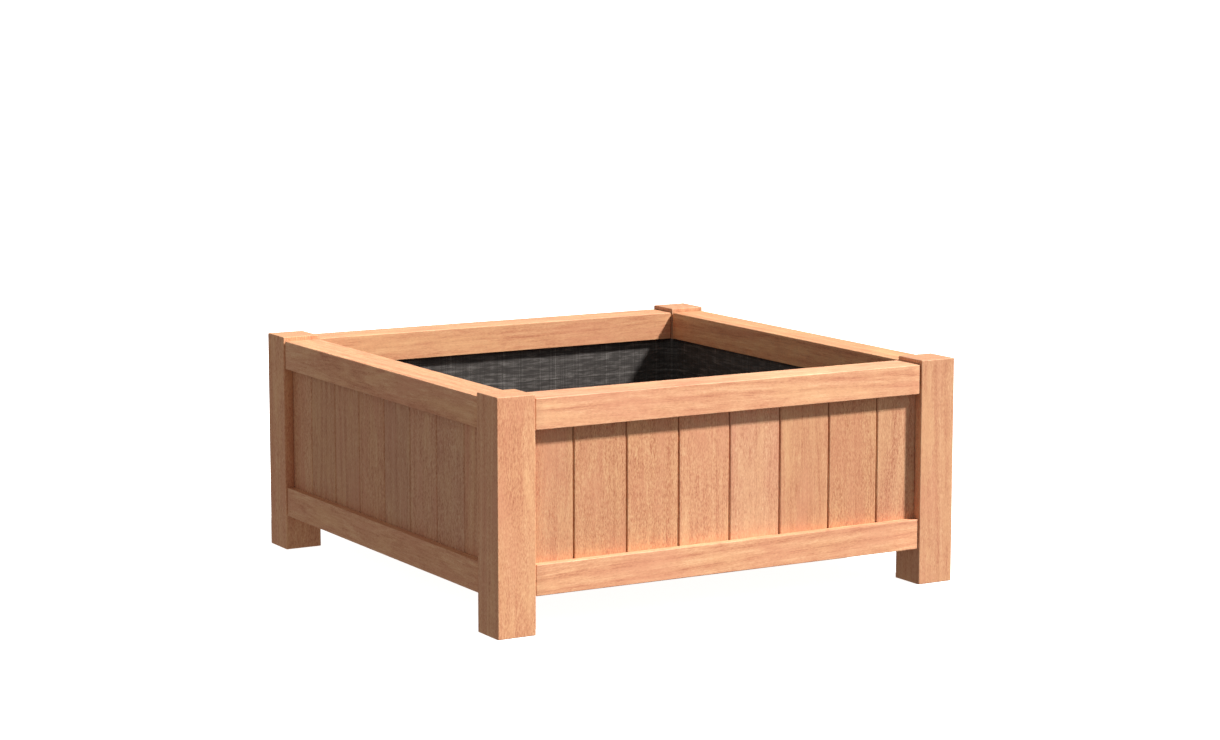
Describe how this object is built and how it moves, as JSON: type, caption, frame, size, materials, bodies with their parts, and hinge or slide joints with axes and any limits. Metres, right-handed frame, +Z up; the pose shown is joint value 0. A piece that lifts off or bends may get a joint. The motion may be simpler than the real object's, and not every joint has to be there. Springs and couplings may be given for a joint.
{
  "type": "planter box",
  "caption": "Square low hardwood planter box on corner posts, with framed tongue-and-groove board walls, slatted floor and woven liner.",
  "frame": {"origin": "centre of the footprint on the ground, under the middle of the box", "axes": "+Z up, -Y towards the front wall, +X to the right seen from the front"},
  "size_m": [0.9, 0.9, 0.395],
  "materials": {
    "post": "planed reddish hardwood, oiled, satin",
    "rail": "planed reddish hardwood, oiled, satin",
    "wall_board": "planed reddish hardwood, oiled, satin",
    "floor_board": "sawn hardwood, matte",
    "bearer": "sawn hardwood, matte",
    "liner": "black woven polypropylene geotextile, matte with a faint plastic sheen",
    "staple": "galvanised wire"
  },
  "bodies": {
    "root": {"post_front_left": "post", "post_front_right": "post", "post_back_right": "post", "post_back_left": "post", "top_rail_front": "rail", "bottom_rail_front": "rail", "wall_board_front_1": "wall_board", "wall_board_front_2": "wall_board", "wall_board_front_3": "wall_board", "wall_board_front_4": "wall_board", "wall_board_front_5": "wall_board", "wall_board_front_6": "wall_board", "wall_board_front_7": "wall_board", "wall_board_front_8": "wall_board", "top_rail_right": "rail", "bottom_rail_right": "rail", "wall_board_right_1": "wall_board", "wall_board_right_2": "wall_board", "wall_board_right_3": "wall_board", "wall_board_right_4": "wall_board", "wall_board_right_5": "wall_board", "wall_board_right_6": "wall_board", "wall_board_right_7": "wall_board", "wall_board_right_8": "wall_board", "top_rail_back": "rail", "bottom_rail_back": "rail", "wall_board_back_1": "wall_board", "wall_board_back_2": "wall_board", "wall_board_back_3": "wall_board", "wall_board_back_4": "wall_board", "wall_board_back_5": "wall_board", "wall_board_back_6": "wall_board", "wall_board_back_7": "wall_board", "wall_board_back_8": "wall_board", "top_rail_left": "rail", "bottom_rail_left": "rail", "wall_board_left_1": "wall_board", "wall_board_left_2": "wall_board", "wall_board_left_3": "wall_board", "wall_board_left_4": "wall_board", "wall_board_left_5": "wall_board", "wall_board_left_6": "wall_board", "wall_board_left_7": "wall_board", "wall_board_left_8": "wall_board", "bearer_front": "bearer", "bearer_back": "bearer", "floor_board_1": "floor_board", "floor_board_2": "floor_board", "floor_board_3": "floor_board", "floor_board_4": "floor_board", "floor_board_5": "floor_board", "floor_board_6": "floor_board", "floor_board_7": "floor_board", "floor_board_8": "floor_board", "liner": "liner"}
  },
  "joints": []
}
